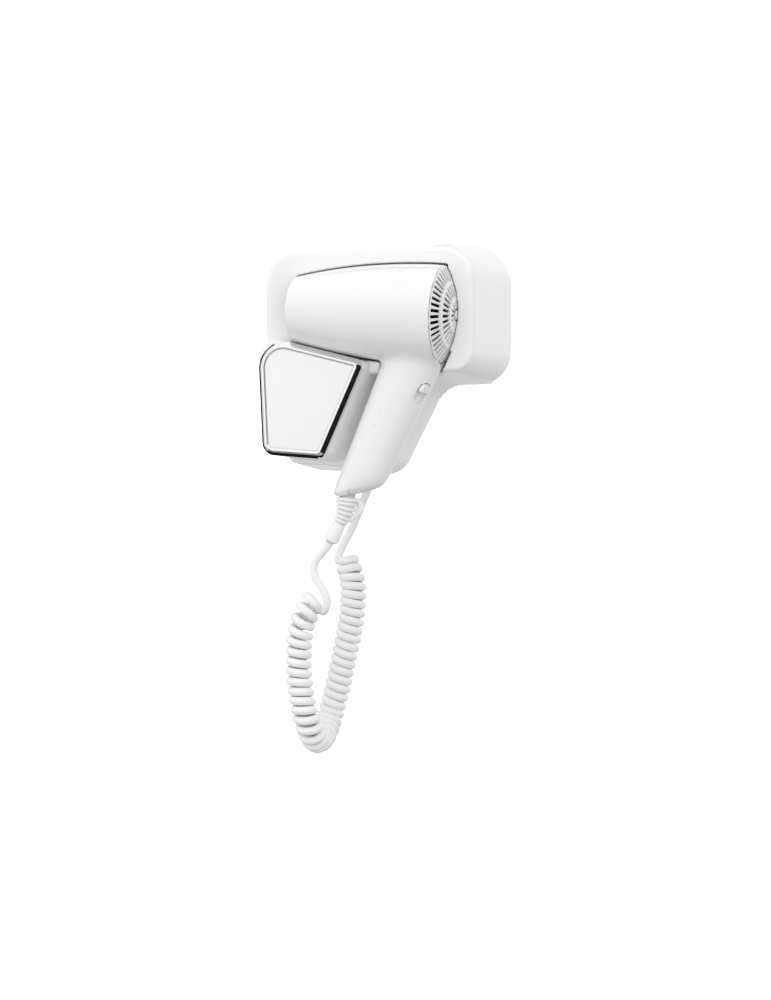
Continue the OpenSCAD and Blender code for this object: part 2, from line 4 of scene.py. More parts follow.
import bpy
import numpy as np
from mathutils import Vector
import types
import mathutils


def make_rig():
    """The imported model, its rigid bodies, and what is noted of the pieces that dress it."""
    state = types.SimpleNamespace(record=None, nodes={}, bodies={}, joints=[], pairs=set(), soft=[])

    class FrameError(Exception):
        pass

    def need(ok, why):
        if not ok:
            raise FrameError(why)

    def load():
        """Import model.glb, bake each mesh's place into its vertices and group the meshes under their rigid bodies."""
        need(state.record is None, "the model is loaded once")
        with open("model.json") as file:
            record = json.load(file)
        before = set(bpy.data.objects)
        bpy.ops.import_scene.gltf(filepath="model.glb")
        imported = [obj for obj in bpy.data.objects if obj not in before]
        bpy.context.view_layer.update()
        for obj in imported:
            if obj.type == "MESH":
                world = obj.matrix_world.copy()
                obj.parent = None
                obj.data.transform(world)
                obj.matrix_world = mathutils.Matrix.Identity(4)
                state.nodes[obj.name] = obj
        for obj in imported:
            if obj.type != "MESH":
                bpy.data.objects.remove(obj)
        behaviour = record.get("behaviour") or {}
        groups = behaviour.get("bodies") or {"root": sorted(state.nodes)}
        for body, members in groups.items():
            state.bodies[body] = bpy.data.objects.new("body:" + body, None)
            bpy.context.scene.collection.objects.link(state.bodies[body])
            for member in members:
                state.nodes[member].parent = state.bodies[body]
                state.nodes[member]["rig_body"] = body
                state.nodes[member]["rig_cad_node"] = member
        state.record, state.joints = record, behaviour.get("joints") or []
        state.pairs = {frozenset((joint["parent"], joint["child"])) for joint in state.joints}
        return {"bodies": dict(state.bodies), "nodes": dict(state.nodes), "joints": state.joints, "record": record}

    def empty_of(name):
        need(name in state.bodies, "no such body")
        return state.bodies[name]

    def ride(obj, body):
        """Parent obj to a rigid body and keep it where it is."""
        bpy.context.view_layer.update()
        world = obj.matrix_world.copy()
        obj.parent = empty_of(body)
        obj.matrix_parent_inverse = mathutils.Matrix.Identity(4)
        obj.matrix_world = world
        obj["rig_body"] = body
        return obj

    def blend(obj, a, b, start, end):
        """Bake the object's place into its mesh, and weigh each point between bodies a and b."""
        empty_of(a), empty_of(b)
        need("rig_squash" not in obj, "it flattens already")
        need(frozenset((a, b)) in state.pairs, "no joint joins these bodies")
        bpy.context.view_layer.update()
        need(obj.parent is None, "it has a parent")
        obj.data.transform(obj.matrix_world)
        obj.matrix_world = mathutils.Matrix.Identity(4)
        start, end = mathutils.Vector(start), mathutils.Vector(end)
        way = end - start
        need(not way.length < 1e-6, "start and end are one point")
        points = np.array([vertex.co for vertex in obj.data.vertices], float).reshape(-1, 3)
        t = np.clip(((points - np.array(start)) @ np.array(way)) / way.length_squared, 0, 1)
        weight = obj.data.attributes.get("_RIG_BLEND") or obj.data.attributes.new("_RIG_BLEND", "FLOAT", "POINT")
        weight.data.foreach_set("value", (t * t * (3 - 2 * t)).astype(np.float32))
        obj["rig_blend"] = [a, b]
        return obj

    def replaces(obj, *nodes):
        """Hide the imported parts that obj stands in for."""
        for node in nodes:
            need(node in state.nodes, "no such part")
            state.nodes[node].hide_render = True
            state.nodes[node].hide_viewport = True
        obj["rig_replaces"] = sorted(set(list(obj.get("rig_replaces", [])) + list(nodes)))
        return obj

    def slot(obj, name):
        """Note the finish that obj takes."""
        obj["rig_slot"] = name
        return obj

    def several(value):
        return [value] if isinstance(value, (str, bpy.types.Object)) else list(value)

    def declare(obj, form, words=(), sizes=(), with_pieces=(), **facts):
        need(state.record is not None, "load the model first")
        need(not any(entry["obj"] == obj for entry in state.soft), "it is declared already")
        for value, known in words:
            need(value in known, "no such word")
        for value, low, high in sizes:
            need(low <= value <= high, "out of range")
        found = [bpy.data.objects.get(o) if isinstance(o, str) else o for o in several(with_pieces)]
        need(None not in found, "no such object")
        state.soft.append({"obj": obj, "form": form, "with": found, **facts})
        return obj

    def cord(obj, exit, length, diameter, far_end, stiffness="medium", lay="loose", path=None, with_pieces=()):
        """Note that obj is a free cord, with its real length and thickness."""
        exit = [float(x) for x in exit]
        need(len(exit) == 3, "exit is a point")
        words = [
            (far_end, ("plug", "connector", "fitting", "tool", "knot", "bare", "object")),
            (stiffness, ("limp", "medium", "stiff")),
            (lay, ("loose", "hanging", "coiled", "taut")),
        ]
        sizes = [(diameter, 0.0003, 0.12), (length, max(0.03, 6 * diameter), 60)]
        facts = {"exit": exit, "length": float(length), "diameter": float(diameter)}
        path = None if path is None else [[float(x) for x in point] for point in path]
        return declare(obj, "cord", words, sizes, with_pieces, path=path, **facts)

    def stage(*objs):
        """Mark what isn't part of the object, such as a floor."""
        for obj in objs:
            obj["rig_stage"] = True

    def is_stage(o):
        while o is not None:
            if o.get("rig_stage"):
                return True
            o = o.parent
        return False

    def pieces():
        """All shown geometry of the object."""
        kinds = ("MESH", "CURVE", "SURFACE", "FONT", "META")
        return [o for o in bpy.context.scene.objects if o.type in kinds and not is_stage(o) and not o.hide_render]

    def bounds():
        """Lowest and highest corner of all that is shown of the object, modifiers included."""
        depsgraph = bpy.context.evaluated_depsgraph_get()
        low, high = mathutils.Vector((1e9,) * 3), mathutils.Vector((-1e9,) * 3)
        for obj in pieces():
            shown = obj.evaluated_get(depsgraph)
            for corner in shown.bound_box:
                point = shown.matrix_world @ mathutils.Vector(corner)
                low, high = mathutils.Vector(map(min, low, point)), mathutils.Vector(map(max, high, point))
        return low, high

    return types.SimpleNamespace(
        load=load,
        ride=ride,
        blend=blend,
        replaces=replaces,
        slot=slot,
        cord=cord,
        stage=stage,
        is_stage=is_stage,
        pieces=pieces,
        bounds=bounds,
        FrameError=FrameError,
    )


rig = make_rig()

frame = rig.load()
MM = 0.001
scene = bpy.context.scene


def write_size(key):
    low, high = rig.bounds()
    sizes = {} if key == "cad" else json.load(open("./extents.json"))
    sizes[key] = {"low": list(low), "high": list(high)}
    with open("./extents.json", "w") as f:
        json.dump(sizes, f, indent=1)


write_size("cad")

# ---------- camera ----------

camera = bpy.data.objects.new("camera", bpy.data.cameras.new("camera"))
scene.collection.objects.link(camera)
camera.data.lens = 79.2
camera.location = (0.55081, -1.63691, -0.10465)
looks_along = Vector((-0.32548, 0.94527, -0.02272))
camera.rotation_mode = "QUATERNION"
camera.rotation_quaternion = looks_along.to_track_quat("-Z", "Y")
camera.data.clip_start, camera.data.clip_end = 0.05, 20
scene.camera = camera

# ---------- materials ----------


def material(name, color, roughness, metallic=0.0, coat=0.0):
    """A plain shaded material."""
    made = bpy.data.materials.new(name)
    made.use_nodes = True
    shader = made.node_tree.nodes["Principled BSDF"]
    shader.inputs["Base Color"].default_value = (*color, 1)
    shader.inputs["Roughness"].default_value = roughness
    shader.inputs["Metallic"].default_value = metallic
    shader.inputs["Coat Weight"].default_value = coat
    shader.inputs["Coat Roughness"].default_value = 0.05
    return made


def with_grain(made, scale, strength):
    """Adds a fine surface grain, worked out by noise."""
    tree = made.node_tree
    noise = tree.nodes.new("ShaderNodeTexNoise")
    noise.inputs["Scale"].default_value = scale
    noise.inputs["Detail"].default_value = 3
    bump = tree.nodes.new("ShaderNodeBump")
    bump.inputs["Strength"].default_value = strength
    bump.inputs["Distance"].default_value = 0.0002
    tree.links.new(noise.outputs["Fac"], bump.inputs["Height"])
    tree.links.new(bump.outputs["Normal"], tree.nodes["Principled BSDF"].inputs["Normal"])
    return made


white_gloss = material("white gloss plastic", (0.86, 0.862, 0.865), 0.22, coat=0.3)
white_housing = material("white housing plastic", (0.895, 0.897, 0.9), 0.22, coat=0.3)
white_satin = with_grain(material("white satin plastic", (0.88, 0.882, 0.885), 0.38), 900, 0.15)
chrome = material("chrome", (0.82, 0.82, 0.84), 0.08, metallic=1.0)
grey_plastic = with_grain(material("grey plastic", (0.30, 0.30, 0.31), 0.45), 700, 0.2)
black_plastic = with_grain(material("black plastic", (0.035, 0.035, 0.038), 0.4), 700, 0.2)
# the inner parts are coloured near black as painted shade, so the grille's slots read dark inside
inner_painted_shade = with_grain(material("inner plastic painted dark as slot shade", (0.10, 0.10, 0.10), 0.5), 700, 0.2)
steel = with_grain(material("steel", (0.56, 0.56, 0.58), 0.3, metallic=1.0), 1500, 0.15)
board_green = with_grain(material("circuit board", (0.03, 0.17, 0.07), 0.4), 1200, 0.15)
mica = with_grain(material("mica", (0.45, 0.35, 0.2), 0.55), 1200, 0.3)

NODE_MATERIALS = {
    "housing_white": white_housing, "dryer_white": white_gloss, "cord_white": white_satin,
    "chrome": chrome, "inner_plastic": inner_painted_shade, "dark_plastic": black_plastic,
    "steel": steel, "board": board_green, "mica": mica, "wire": grey_plastic,
}

# ---------- mesh helpers ----------


def add_mesh(name, vertices, faces, made_of, body, smooth=True):
    """A mesh object from points in millimetres, on a CAD body."""
    mesh = bpy.data.meshes.new(name)
    places = (np.asarray(vertices, float) * MM).tolist()
    mesh.from_pydata(places, [], [list(map(int, f)) for f in faces])
    mesh.validate()
    mesh.materials.append(made_of)
    mesh.polygons.foreach_set("use_smooth", [smooth] * len(mesh.polygons))
    piece = bpy.data.objects.new(name, mesh)
    scene.collection.objects.link(piece)
    if body:
        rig.ride(piece, body)
    return piece


def grid_faces(rows, columns):
    """Quads over rows of points, each row's last point joined to its first."""
    return [[i * columns + k, i * columns + (k + 1) % columns,
             (i + 1) * columns + (k + 1) % columns, (i + 1) * columns + k]
            for i in range(rows - 1) for k in range(columns)]


def frames_along(path, start):
    """Unit vectors along, across and up at each point of a path, with no twist.

    start is a direction near the first across.
    """
    along = np.gradient(path, axis=0)
    along /= np.linalg.norm(along, axis=1)[:, None]
    across = [np.asarray(start, float)]
    for t in along:
        a = across[-1] - t * (across[-1] @ t)
        across.append(a / np.linalg.norm(a))
    across = np.array(across[1:])
    return along, across, np.cross(along, across)


def tube(path, radius, sides=16):
    """The points and faces of a tube round a path, with both ends closed."""
    path = np.asarray(path, float)
    _, across, up = frames_along(path, (0.1, 1, 0.2))
    turn = np.linspace(0, 2 * math.pi, sides, endpoint=False)[None, :, None]
    rings = path[:, None] + radius * (np.cos(turn) * across[:, None] + np.sin(turn) * up[:, None])
    faces = grid_faces(len(path), sides)
    faces.append(list(range(sides))[::-1])
    faces.append([(len(path) - 1) * sides + k for k in range(sides)])
    return rings.reshape(-1, 3), faces


def spline(points, step):
    """A smooth path through points (centripetal Catmull-Rom), resampled at even steps."""
    p = np.asarray(points, float)
    p = np.vstack([2 * p[0] - p[1], p, 2 * p[-1] - p[-2]])
    fine = []
    for a, b, c, d in zip(p, p[1:], p[2:], p[3:]):
        t1 = np.linalg.norm(b - a) ** 0.5
        t2 = t1 + np.linalg.norm(c - b) ** 0.5
        t3 = t2 + np.linalg.norm(d - c) ** 0.5
        t = np.linspace(t1, t2, 24, endpoint=False)[:, None]
        a1 = (t1 - t) / t1 * a + t / t1 * b
        a2 = (t2 - t) / (t2 - t1) * b + (t - t1) / (t2 - t1) * c
        a3 = (t3 - t) / (t3 - t2) * c + (t - t2) / (t3 - t2) * d
        b1 = (t2 - t) / t2 * a1 + t / t2 * a2
        b2 = (t3 - t) / (t3 - t1) * a2 + (t - t1) / (t3 - t1) * a3
        fine.append((t2 - t) / (t2 - t1) * b1 + (t - t1) / (t2 - t1) * b2)
    fine = np.vstack([*fine, p[-2]])
    lengths = np.concatenate([[0], np.cumsum(np.linalg.norm(np.diff(fine, axis=0), axis=1))])
    even = np.linspace(0, lengths[-1], max(3, round(lengths[-1] / step)))
    return np.stack([np.interp(even, lengths, fine[:, k]) for k in range(3)], axis=1)


# ---------- cord ----------

CORD_R = 3.25
COIL_R = 7.25
LEAD_ROUTE = [[-30.35, -78, -174.2], [-33.2, -78, -178.6], [-37.3, -78, -183], [-41.7, -78, -188.5],
              [-43.7, -78, -195], [-42, -78, -201.5], [-38, -78, -207.5], [-34.3, -78, -213.5],
              [-33, -77.5, -220], [-34.8, -76, -225.3], [-38.6, -71.3, -227.6],
              [-43.8, -66.5, -225], [-48.5, -65.5, -220]]
COIL_ROUTE = [[-45.3, -72, -218.5], [-47.4, -73.5, -222.5], [-50.1, -75.5, -228], [-52.4, -77, -234],
              [-54, -77, -240], [-55.4, -77, -247], [-56.1, -77, -255], [-56.2, -77, -262],
              [-56.2, -77, -269], [-56, -77, -276], [-55.2, -77, -284], [-54.3, -77, -289],
              [-53.2, -77, -295.7], [-51.9, -77, -302.4], [-50.2, -76.2, -309.5],
              [-48.6, -73.4, -317.5], [-48, -66.2, -324.8], [-48, -55.5, -327.8],
              [-48, -44.8, -325], [-47.4, -37.2, -317.5], [-45.8, -34.2, -309], [-43.6, -34, -301],
              [-40, -34, -287], [-36, -34, -270], [-32, -34, -252], [-29, -34, -235],
              [-27.6, -34, -220], [-27.8, -34, -210], [-29.3, -34, -200.4], [-34.3, -34, -189]]
WALL_ROUTE = [[-14, -34, -121], [-14, -34, -126], [-15, -34, -134], [-19, -34, -143], [-24, -34, -155],
              [-28.5, -34, -165], [-35.2, -34, -177.3], [-39.5, -34, -185.5]]
STEP = 0.5
POINTS_PER_TURN = 20
START_TURN, END_TURN = 90 / 360, 60 / 360  # where the first turn starts and the last stops, in turns


def eased(line, middle, reach=9, rounds=14):
    """The line with its bend about one of its points made rounder."""
    weight = np.clip(1 - np.abs(np.arange(len(line)) - middle) / reach, 0, 1)[:, None]
    for _ in range(rounds):
        halfway = (np.roll(line, 1, axis=0) + np.roll(line, -1, axis=0)) / 2
        line = line + 0.5 * weight * (halfway - line)
    return line


def cord_path():
    """The cord's centre line: a lead, a helix round the coil's route, and a lead into the housing."""
    route = spline(COIL_ROUTE, STEP)
    n = len(route)
    _, across, up = frames_along(route, (0, 1, 0.1))
    done = np.linspace(0, 1, n)
    # the left strand's turns lie further apart than the right strand's
    pitch = np.interp(done, [0, 0.12, 0.36, 0.42, 0.58, 1], [9.0, 7.6, 6.9, 6.8, 6.6, 6.6])
    phase = 2 * math.pi * np.concatenate([[0], np.cumsum(STEP / pitch[:-1])])
    phase *= (round(phase[-1] / (2 * math.pi)) + END_TURN - START_TURN) * 2 * math.pi / phase[-1]
    turn = np.arange(0, phase[-1], 2 * math.pi / POINTS_PER_TURN)
    at = np.interp(turn, phase, np.arange(n))
    turn += START_TURN * 2 * math.pi

    def at_turns(rows):
        return np.stack([np.interp(at, np.arange(n), rows[:, k]) for k in range(3)], axis=1)

    helix = at_turns(route) + COIL_R * (np.cos(turn)[:, None] * at_turns(across)
                                        - np.sin(turn)[:, None] * at_turns(up))
    lead = spline([*LEAD_ROUTE, *helix[:3]], 2)
    line = np.vstack([lead[:-1], helix[2:-2], spline([*helix[-2:], *WALL_ROUTE[::-1]], 2)])
    return eased(eased(line, len(lead), rounds=6), len(lead) + len(helix) - 4)


cord_line = cord_path()
cord_length = np.linalg.norm(np.diff(cord_line, axis=0), axis=1).sum() * MM
cord = add_mesh("curly_cord", *tube(cord_line, CORD_R), white_satin, None)
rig.replaces(cord, "handle_lead", "cord_coil", "wall_lead")
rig.slot(cord, "cord_white")
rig.blend(cord, "housing", "dryer", start=(0, -0.044, -0.3), end=(0, -0.068, -0.3))
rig.cord(cord, exit=(cord_line[0] * MM).tolist(), length=cord_length, diameter=2 * CORD_R * MM,
        far_end="object", stiffness="medium", lay="hanging", path=(cord_line * MM).tolist())
print("cord length", round(cord_length, 3))

# ---------- shapes from distance functions ----------
# A shape is a function of points, in millimetres, that is negative inside. Edges are rounded by
# joining and cutting with a radius.


def common(a, b, r):
    """Where both shapes are, the edge between them rounded by r."""
    return np.minimum(-r, np.maximum(a, b)) + np.hypot(np.maximum(a + r, 0), np.maximum(b + r, 0))


def joined(a, b, r):
    """Both shapes, the corner between them filled by r."""
    return -common(-a, -b, r)


def cut(a, b, r):
    """Shape a without shape b."""
    return common(a, -b, r)


def gradient(shape, points):
    """The shape's slope at each point."""
    step = 0.04
    g = np.empty_like(points)
    for k in range(3):
        ahead, behind = points.copy(), points.copy()
        ahead[:, k] += step
        behind[:, k] -= step
        g[:, k] = (shape(ahead) - shape(behind)) / (2 * step)
    return g


def unit(rows):
    """The rows with a length of 1 each."""
    return rows / np.maximum(np.linalg.norm(rows, axis=1), 1e-9)[:, None]


def sampled(shape, axes):
    """The shape's value at each point of a grid, one layer of x at a time."""
    value = np.empty([len(a) for a in axes], np.float32)
    y, z = np.meshgrid(axes[1], axes[2], indexing="ij")
    for i, x in enumerate(axes[0]):
        layer = np.stack([np.full(y.size, x), y.ravel(), z.ravel()], axis=1)
        value[i] = shape(layer).reshape(y.shape)
    return value


def crossed_lines(value, k):
    """Grid lines along axis k that cross the surface: their start, where they cross, and outward."""
    inside = value < 0
    ends = [slice(None)] * 3
    ends[k] = slice(0, -1)
    starts = inside[tuple(ends)]
    ends[k] = slice(1, None)
    where = np.argwhere(starts != inside[tuple(ends)])
    a = value[tuple(where.T)]
    b = value[tuple((where + np.eye(3, dtype=int)[k]).T)]
    point = where.astype(np.float32)
    point[:, k] += a / (a - b)
    return where, point, a < 0


def cells_beside(where, k, order):
    """The cells round grid lines along axis k, one array for each (back along u, back along v)."""
    for du, dv in order:
        cell = where.copy()
        cell[:, (k + 1) % 3] -= du
        cell[:, (k + 2) % 3] -= dv
        yield cell


def settled(shape, points, step):
    """The points moved onto the shape's surface by Newton's method."""
    for _ in range(4):
        g = gradient(shape, points)
        size2 = np.maximum((g * g).sum(axis=1), 0.05)
        move = -(shape(points) / size2)[:, None] * g
        move *= np.minimum(1, step / np.maximum(np.linalg.norm(move, axis=1), 1e-9))[:, None]
        points = points + move
    return points


def surface(shape, low, high, step):
    """A mesh of the shape's surface: one point in each cell that it crosses, then moved onto it."""
    axes = [np.arange(a, b + step, step) for a, b in zip(low, high)]
    value = sampled(shape, axes)
    cells = [len(a) - 1 for a in axes]
    total, crossings = np.zeros((*cells, 3), np.float32), np.zeros(cells, np.float32)
    lines = [crossed_lines(value, k) for k in range(3)]
    for k, (where, point, _) in enumerate(lines):
        for cell in cells_beside(where, k, ((0, 0), (0, 1), (1, 0), (1, 1))):
            ok = (cell >= 0).all(axis=1) & (cell < cells).all(axis=1)
            np.add.at(total, tuple(cell[ok].T), point[ok])
            np.add.at(crossings, tuple(cell[ok].T), 1)
    used = np.argwhere(crossings > 0)
    index = np.full(cells, -1, np.int64)
    index[tuple(used.T)] = np.arange(len(used))
    points = total[tuple(used.T)] / crossings[tuple(used.T)][:, None]
    points = (points * step + [a[0] for a in axes]).astype(float)
    faces = []
    for k, (where, _, outward) in enumerate(lines):
        u, v = (k + 1) % 3, (k + 2) % 3
        inner = (where[:, u] > 0) & (where[:, v] > 0)
        inner &= (where[:, u] < cells[u]) & (where[:, v] < cells[v])
        around = cells_beside(where[inner], k, ((0, 0), (1, 0), (1, 1), (0, 1)))
        corners = np.stack([index[tuple(cell.T)] for cell in around], axis=1)
        corners[~outward[inner]] = corners[~outward[inner]][:, ::-1]
        faces.append(corners)
    points = settled(shape, points, step)
    return points, np.vstack(faces), unit(gradient(shape, points))


def onto_edge(points, reach, shapes):
    """Moves the points that are near every shape's surface to where the surfaces meet."""
    near = np.all([np.abs(f(points)) < reach for f in shapes], axis=0)
    edge = points[near]
    for f in shapes * 4:
        g = gradient(f, edge)
        edge = edge - (f(edge) / np.maximum((g * g).sum(axis=1), 0.05))[:, None] * g
    close = np.linalg.norm(edge - points[near], axis=1) < 2 * reach
    edge[~close] = points[near][~close]
    points[near] = edge


def add_surface(name, shape, low, high, step, made_of, body, whole=None):
    """A mesh of a shape. Where it lies on the surface of whole, it is shaded as whole is."""
    points, faces, normals = surface(shape, low, high, step)
    if whole:
        onto_edge(points, 0.62 * step, (seam_side, whole))
        on_whole = np.abs(whole(points)) < 0.08
        normals[on_whole] = unit(gradient(whole, points[on_whole]))
    print(name, len(faces), "faces")
    mesh = bpy.data.meshes.new(name)
    mesh.vertices.add(len(points))
    mesh.vertices.foreach_set("co", (points * MM).astype(np.float32).ravel())
    mesh.loops.add(faces.size)
    mesh.loops.foreach_set("vertex_index", faces.astype(np.int32).ravel())
    mesh.polygons.add(len(faces))
    mesh.polygons.foreach_set("loop_start", np.arange(0, faces.size, 4, dtype=np.int32))
    mesh.update(calc_edges=True)
    mesh.materials.append(made_of)
    mesh.polygons.foreach_set("use_smooth", [True] * len(faces))
    mesh.normals_split_custom_set_from_vertices(normals.tolist())
    piece = bpy.data.objects.new(name, mesh)
    scene.collection.objects.link(piece)
    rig.ride(piece, body)
    return piece


# ---------- the dryer's outside ----------

CENTRE_Y = -78.0  # the dryer's plane of symmetry
TILT = math.radians(3)
RIM = np.array([59.5, CENTRE_Y, -4.3])
ALONG_BARREL = np.array([-math.cos(TILT), 0, math.sin(TILT)])
ABOVE_BARREL = np.array([math.sin(TILT), 0, math.cos(TILT)])
BARREL_L, BARREL_R, NOZZLE_R, BELLY = 117.5, 36.9, 24.6, 10.0
DOME_H = 10.5
SHELL_T = 2.0
CRADLE_GAP = 1.5
DOME_GAP = 0.3
SEAM_GAP = 0.025  # half the gap between the two halves

LEAN = math.radians(24.5)
GRIP = np.array([33, CENTRE_Y, -45])
DOWN_HANDLE = np.array([-math.sin(LEAN), 0, -math.cos(LEAN)])
ACROSS_HANDLE = np.array([-math.cos(LEAN), 0, math.sin(LEAN)])
HANDLE_END_Z = -139.5
SEAM = [[33, 47], [28.5, -40], [25.5, -53.6], [-12.6, -137.5], [-15.5, -150]]


def barrel_radius(s):
    """The barrel's radius at a distance from its rear rim."""
    t = np.clip((s - BELLY) / (BARREL_L - BELLY), 0, 1.1)
    rear = BARREL_R - 0.5 * (np.clip(BELLY - s, 0, BELLY) / BELLY) ** 2
    return rear - (BARREL_R - NOZZLE_R) * t ** 2.2


def in_barrel(p):
    """Distance from the rear rim along the barrel, and from its axis."""
    d = p - RIM
    return d @ ALONG_BARREL, np.hypot(d @ ABOVE_BARREL, d[:, 1])


def barrel_wall(p, inset=0.0):
    """The barrel's side, without ends."""
    s, r = in_barrel(p)
    slope = (barrel_radius(s + 0.5) - barrel_radius(s - 0.5))
    return (r - barrel_radius(s) + inset) / np.sqrt(1 + slope * slope)


def barrel(p):
    s, _ = in_barrel(p)
    return common(common(barrel_wall(p), -s, 0.3), s - BARREL_L, 1.2)


def soft_ramp(x, width):
    """Zero below 0 and x above it, with a smooth bend."""
    return width * np.logaddexp(0, np.clip(x / width, -60, 60))


def handle(p, inset=0.0):
    """The handle, an oval that narrows downwards and pulls in at its lower end."""
    d = p - GRIP
    t, x, y = d @ DOWN_HANDLE, d @ ACROSS_HANDLE, d[:, 1]
    low = soft_ramp(t - 88, 3.0)
    a = 22.4 - 4.6 * (t + 24) / 112 - 0.50 * low - inset
    b = 17.0 - 2.0 * (t + 24) / 112 - 0.19 * low - inset
    x = x - 0.48 * low
    a, b = np.maximum(a, 3), np.maximum(b, 3)
    k0 = np.hypot(x / a, y / b)
    k1 = np.maximum(np.hypot(x / (a * a), y / (b * b)), 1e-4)
    side = k0 * (k0 - 1) / k1
    end = HANDLE_END_Z + inset - p[:, 2]
    return np.maximum(common(side, end, 5 + 2.5 * np.clip(-x / 8, 0, 1)), -24 - t)


def dryer_outside(p):
    s, _ = in_barrel(p)
    return common(joined(barrel(p), handle(p), 5.0), -s, 0.3)


def dome(p, inset=0.0):
    """The rear grille's ball cap, filled."""
    s, r = in_barrel(p)
    edge = barrel_radius(0)
    ball = (edge ** 2 + DOME_H ** 2) / (2 * DOME_H)
    return common(np.hypot(s - (ball - DOME_H), r) - ball + inset, s + 0.04, 0.3)


def cradle(p):
    """The space that the dryer and its way out take in the housing."""
    q = p.copy()
    q[:, 1] = np.maximum(q[:, 1], CENTRE_Y)
    return np.minimum(joined(barrel(q), handle(q), 5.0) - CRADLE_GAP, dome(q) - DOME_GAP)


def seam_side(p):
    """Distance from the seam, negative on the nozzle's side."""
    x = np.interp(-p[:, 2], [-z for _, z in SEAM], [x for x, _ in SEAM])
    lean = np.where(p[:, 2] < -47, math.cos(LEAN), 1)
    return (p[:, 0] - x) * lean


# ---------- the housing's outside ----------

BOX_W, BOX_H, BOX_D = 163.0, 92.0, 78.0
DRAFT, WALL = 7.5, 2.5
BLOCK_Y = -88.0
BLOCK = [[-81.5, -21], [-3, -40.5], [-34, -108], [-77.5, -105]]
LEG = [[38.2, -53.5], [1.6, -125.2], [-77.5, -120], [-85.5, -29]]  # the leg's outline, from its root
LEG_FRONT = -BOX_D + 22
GLAND_AT, GLAND_R = (-14, -34), 5.8


def line_side(x, z, a, b):
    """Distance from the line a to b, positive on its left."""
    ux, uz = b[0] - a[0], b[1] - a[1]
    n = math.hypot(ux, uz)
    return ((x - a[0]) * -uz + (z - a[1]) * ux) / n


def block_outline(x, z, flare=0.0):
    """The trapezoid that the trim frame follows, its corners rounded."""
    tl, tr, br, bl = BLOCK
    top_left = common(line_side(x, z, tl, tr), line_side(x, z, bl, tl), 17)
    low_right = common(line_side(x, z, tr, br) - flare, line_side(x, z, br, bl), 4)
    return common(top_left, low_right, np.where(x > -55, 3.0, 7.0))


def housing_outside(p):
    """The box, the leg behind the handle and the block, filled."""
    x, y, z = p.T
    w, h = BOX_W / 2, BOX_H / 2
    grow = DRAFT * (1 + y / BOX_D)
    u, v = np.clip(x / w, -1, 1), np.clip(z / h, -1, 1)
    bx, bz = np.abs(x - 1.2 * u * (1 - v * v)), np.abs(z - 1.2 * v * (1 - u * u))
    corner = np.where(z > 0, 24.0, 15.0)
    qx, qz = bx - w + corner, bz - h + corner
    box = np.hypot(np.maximum(qx, 0), np.maximum(qz, 0)) + np.minimum(np.maximum(qx, qz), 0) - corner
    box = common(box - grow, -BOX_D - y, 3.5)
    leg = joined(line_side(x, z, LEG[0], LEG[1]), LEG[0][1] - z, 14)
    leg = common(leg, line_side(x, z, LEG[1], LEG[2]), 13)
    leg = common(leg, line_side(x, z, LEG[2], LEG[3]), 10)
    leg = np.maximum(np.maximum(leg, z + 30), x - 75)
    leg = common(leg + 6 * y / LEG_FRONT, LEG_FRONT - y, 1.5)
    block = block_outline(x, z, 0.2 * np.clip(y + 86.5, 0, 40)) - 3.4 - 0.061 * (y + 86.5)
    block = np.maximum(common(block, BLOCK_Y - y, 1.5), y + 40)
    return joined(joined(box, leg, 1.5), block, 1.0)


# ---------- frames for the handle's parts ----------


RELIEF_TOP = np.array([-16.2, CENTRE_Y, -140])
LEAN_TOP, LEAN_LOW, BEND_L = math.radians(3.6), math.radians(29.6), 20.5
RELIEF_DOWN = np.array([-math.sin(LEAN_TOP), 0, -math.cos(LEAN_TOP)])
RELIEF_SIDE = np.array([-math.cos(LEAN_TOP), 0, math.sin(LEAN_TOP)])


def from_relief(p):
    """Points in the strain relief's frame, whose z bends with it over BEND_L, in the object's frame."""
    x, y, z = np.asarray(p, float).T
    bend = (LEAN_LOW - LEAN_TOP) / BEND_L
    inner = np.clip(z, 0, BEND_L)
    lean = LEAN_TOP + bend * inner
    u = (np.cos(lean) - math.cos(LEAN_TOP)) / bend - (z - inner) * np.sin(lean) - x * np.cos(lean)
    w = (math.sin(LEAN_TOP) - np.sin(lean)) / bend - (z - inner) * np.cos(lean) + x * np.sin(lean)
    return RELIEF_TOP + np.stack([u, y, w], axis=-1)


SWITCH_AT, SWITCH_TURN, SWITCH_OUT = 11.4, math.radians(71), 20.8
SWITCH_NORMAL = -math.sin(SWITCH_TURN) * ACROSS_HANDLE + np.array([0, -math.cos(SWITCH_TURN), 0])
SWITCH_ACROSS = math.cos(SWITCH_TURN) * ACROSS_HANDLE + np.array([0, -math.sin(SWITCH_TURN), 0])
SWITCH_CENTRE = GRIP + SWITCH_AT * DOWN_HANDLE + SWITCH_OUT * SWITCH_NORMAL


def in_switch(p):
    """Where points lie across, along and out of the switch's slot."""
    d = p - SWITCH_CENTRE
    return d @ SWITCH_ACROSS, d @ DOWN_HANDLE, d @ SWITCH_NORMAL


def soft_box(x, y, z, half, r):
    """A box about the origin of its own frame, with round edges."""
    qx, qy, qz = np.abs(x) - half[0] + r, np.abs(y) - half[1] + r, np.abs(z) - half[2] + r
    outer = np.sqrt(np.maximum(qx, 0) ** 2 + np.maximum(qy, 0) ** 2 + np.maximum(qz, 0) ** 2)
    return outer + np.minimum(np.maximum(qx, np.maximum(qy, qz)), 0) - r


# ---------- the housing ----------

BUTTON_AT = (48.0, -38.0)
BUTTON_TOP = 51.85


def button_hole(p):
    return soft_box(p[:, 0] - BUTTON_AT[0], p[:, 1] - BUTTON_AT[1], p[:, 2] - 50, (6.7, 5.3, 20), 1.0)


